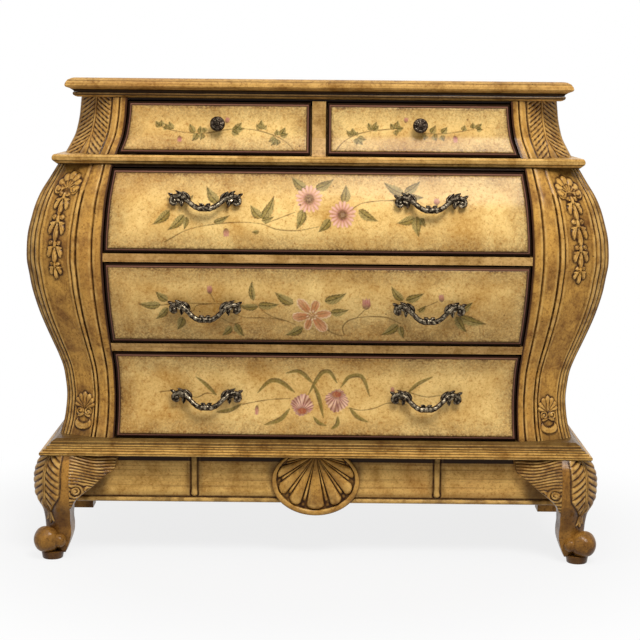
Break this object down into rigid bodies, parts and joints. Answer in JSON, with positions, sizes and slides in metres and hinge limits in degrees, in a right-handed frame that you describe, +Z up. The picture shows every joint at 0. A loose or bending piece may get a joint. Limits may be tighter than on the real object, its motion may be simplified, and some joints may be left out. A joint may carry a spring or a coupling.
{
  "type": "bombe chest of drawers",
  "caption": "Bombe chest with swelling front and sides, small drawers over long ones, carved corner posts, a shell apron and cabriole legs.",
  "frame": {"origin": "on the floor, under the middle of the chest's whole box, pulls included", "axes": "+X to the viewer's right, -Y out of the front, the way the drawers open, +Z up"},
  "size_m": [1.1018, 0.4894, 0.914],
  "materials": {
    "antique_ochre": "antiqued ochre paint under brown glaze, satin",
    "dark_glaze": "near-black brown glaze, satin",
    "drawer_wood": "plain sealed wood, matte",
    "antique_bronze": "dark antique bronze with worn pale edges"
  },
  "bodies": {
    "case": {"top_slab": "antique_ochre", "cornice_moulding": "antique_ochre", "upper_post_left": "antique_ochre", "upper_post_right": "antique_ochre", "upper_side_left": "antique_ochre", "upper_side_right": "antique_ochre", "centre_divider": "antique_ochre", "waist_moulding": "antique_ochre", "waist_rail": "dark_glaze", "upper_web_frame": "antique_ochre", "lower_web_frame": "antique_ochre", "corner_post_left": "antique_ochre", "corner_post_right": "antique_ochre", "side_panel_left": "antique_ochre", "side_panel_right": "antique_ochre", "back_panel": "drawer_wood", "base_moulding": "antique_ochre", "front_apron": "antique_ochre", "side_apron_left": "antique_ochre", "side_apron_right": "antique_ochre", "apron_shell": "antique_ochre", "front_leg_left": "antique_ochre", "front_leg_right": "antique_ochre", "rear_leg_left": "antique_ochre", "rear_leg_right": "antique_ochre", "knee_block_left": "antique_ochre", "knee_block_right": "antique_ochre"},
    "lower_drawer": {"lower_drawer_front": "antique_ochre", "lower_drawer_side_left": "drawer_wood", "lower_drawer_side_right": "drawer_wood", "lower_drawer_back": "drawer_wood", "lower_drawer_bottom": "drawer_wood", "lower_drawer_pull_left": "antique_bronze", "lower_drawer_pull_right": "antique_bronze"},
    "middle_drawer": {"middle_drawer_front": "antique_ochre", "middle_drawer_side_left": "drawer_wood", "middle_drawer_side_right": "drawer_wood", "middle_drawer_back": "drawer_wood", "middle_drawer_bottom": "drawer_wood", "middle_drawer_pull_left": "antique_bronze", "middle_drawer_pull_right": "antique_bronze"},
    "upper_drawer": {"upper_drawer_front": "antique_ochre", "upper_drawer_side_left": "drawer_wood", "upper_drawer_side_right": "drawer_wood", "upper_drawer_back": "drawer_wood", "upper_drawer_bottom": "drawer_wood", "upper_drawer_pull_left": "antique_bronze", "upper_drawer_pull_right": "antique_bronze"},
    "left_small_drawer": {"left_small_drawer_front": "antique_ochre", "left_small_drawer_side_left": "drawer_wood", "left_small_drawer_side_right": "drawer_wood", "left_small_drawer_back": "drawer_wood", "left_small_drawer_bottom": "drawer_wood", "left_small_drawer_knob": "antique_bronze"},
    "right_small_drawer": {"right_small_drawer_front": "antique_ochre", "right_small_drawer_side_left": "drawer_wood", "right_small_drawer_side_right": "drawer_wood", "right_small_drawer_back": "drawer_wood", "right_small_drawer_bottom": "drawer_wood", "right_small_drawer_knob": "antique_bronze"}
  },
  "joints": [
    {"name": "lower_drawer_slide", "type": "slide", "parent": "case", "child": "lower_drawer", "axis": [0, -1, 0], "range_m": [0, 0.3]},
    {"name": "middle_drawer_slide", "type": "slide", "parent": "case", "child": "middle_drawer", "axis": [0, -1, 0], "range_m": [0, 0.3]},
    {"name": "upper_drawer_slide", "type": "slide", "parent": "case", "child": "upper_drawer", "axis": [0, -1, 0], "range_m": [0, 0.3]},
    {"name": "left_small_drawer_slide", "type": "slide", "parent": "case", "child": "left_small_drawer", "axis": [0, -1, 0], "range_m": [0, 0.25]},
    {"name": "right_small_drawer_slide", "type": "slide", "parent": "case", "child": "right_small_drawer", "axis": [0, -1, 0], "range_m": [0, 0.25]}
  ]
}
